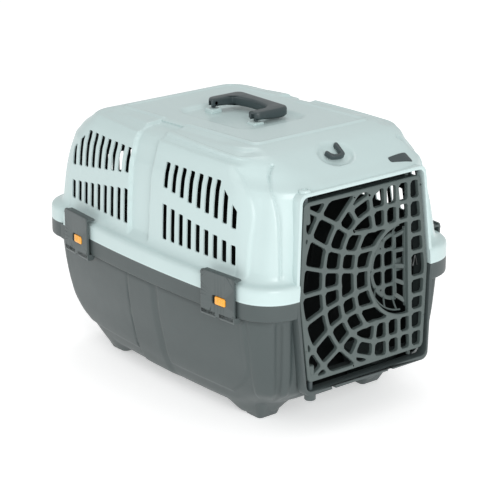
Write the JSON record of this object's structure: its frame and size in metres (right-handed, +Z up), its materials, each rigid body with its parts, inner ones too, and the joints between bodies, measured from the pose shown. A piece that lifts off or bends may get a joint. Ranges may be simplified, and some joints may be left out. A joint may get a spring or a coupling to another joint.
{
  "type": "pet transport carrier",
  "caption": "Hard two-shell pet carrier with slotted sides, folding top handle, rim clips with sliding locks and a latched web grille door that swings on a side hinge.",
  "frame": {"origin": "middle of the footprint on the floor, under the shells", "axes": "+X towards the grille door, +Y towards the side the folded handle leans to, +Z up"},
  "size_m": [0.5145, 0.3688, 0.3775],
  "materials": {
    "upper_plastic": "moulded polypropylene, satin gloss",
    "lower_plastic": "moulded polypropylene, satin",
    "grille_plastic": "moulded polypropylene, satin",
    "handle_plastic": "moulded polypropylene, satin",
    "dark_plastic": "moulded, satin",
    "lock_plastic": "moulded orange",
    "pin_steel": "drawn wire"
  },
  "bodies": {
    "shell": {"lower_shell": "lower_plastic", "upper_shell": "upper_plastic", "latch_keeper": "dark_plastic", "strap_hook": "dark_plastic", "handle_pin_rear": "pin_steel", "handle_pin_front": "pin_steel", "clip_pin_near_rear": "pin_steel", "clip_pin_near_front": "pin_steel", "clip_pin_far_rear": "pin_steel", "clip_pin_far_front": "pin_steel"},
    "door": {"door_grille": "grille_plastic", "door_pin_lower": "pin_steel", "door_pin_upper": "pin_steel", "latch_spring": "pin_steel"},
    "latch": {"latch_handle": "grille_plastic", "latch_bolt_lower": "dark_plastic", "latch_bolt_upper": "dark_plastic"},
    "handle": {"carry_handle": "handle_plastic"},
    "clip_near_rear": {"clip_near_rear": "lower_plastic"},
    "lock_near_rear": {"clip_lock_near_rear": "lock_plastic"},
    "clip_near_front": {"clip_near_front": "lower_plastic"},
    "lock_near_front": {"clip_lock_near_front": "lock_plastic"},
    "clip_far_rear": {"clip_far_rear": "lower_plastic"},
    "lock_far_rear": {"clip_lock_far_rear": "lock_plastic"},
    "clip_far_front": {"clip_far_front": "lower_plastic"},
    "lock_far_front": {"clip_lock_far_front": "lock_plastic"}
  },
  "joints": [
    {"name": "door_hinge", "type": "hinge", "parent": "shell", "child": "door", "pos_m": [0.24418, -0.093, 0.18936], "axis": [0.0533, 0, -0.9986], "range_deg": [0, 100]},
    {"name": "latch_slide", "type": "slide", "parent": "door", "child": "latch", "axis": [0, 1, 0], "range_m": [0, 0.008], "stiffness_N_per_m": 400, "deforming": ["latch_spring"]},
    {"name": "handle_fold", "type": "hinge", "parent": "shell", "child": "handle", "pos_m": [0, -0.015, 0.371], "axis": [1, 0, 0], "range_deg": [0, 100]},
    {"name": "clip_near_rear_hinge", "type": "hinge", "parent": "shell", "child": "clip_near_rear", "pos_m": [-0.14182, -0.17325, 0.1645], "axis": [0.9961, -0.0882, 0], "range_deg": [0, 75]},
    {"name": "lock_near_rear_slide", "type": "slide", "parent": "clip_near_rear", "child": "lock_near_rear", "axis": [-0.9961, 0.0882, 0], "range_m": [0, 0.005]},
    {"name": "clip_near_front_hinge", "type": "hinge", "parent": "shell", "child": "clip_near_front", "pos_m": [0.17184, -0.17443, 0.1645], "axis": [0.9967, 0.0807, 0], "range_deg": [0, 75]},
    {"name": "lock_near_front_slide", "type": "slide", "parent": "clip_near_front", "child": "lock_near_front", "axis": [-0.9967, -0.0807, 0], "range_m": [0, 0.005]},
    {"name": "clip_far_rear_hinge", "type": "hinge", "parent": "shell", "child": "clip_far_rear", "pos_m": [-0.14182, 0.17325, 0.1645], "axis": [-0.9961, -0.0882, 0], "range_deg": [0, 75]},
    {"name": "lock_far_rear_slide", "type": "slide", "parent": "clip_far_rear", "child": "lock_far_rear", "axis": [-0.9961, -0.0882, 0], "range_m": [0, 0.005]},
    {"name": "clip_far_front_hinge", "type": "hinge", "parent": "shell", "child": "clip_far_front", "pos_m": [0.17184, 0.17443, 0.1645], "axis": [-0.9967, 0.0807, 0], "range_deg": [0, 75]},
    {"name": "lock_far_front_slide", "type": "slide", "parent": "clip_far_front", "child": "lock_far_front", "axis": [-0.9967, 0.0807, 0], "range_m": [0, 0.005]}
  ]
}
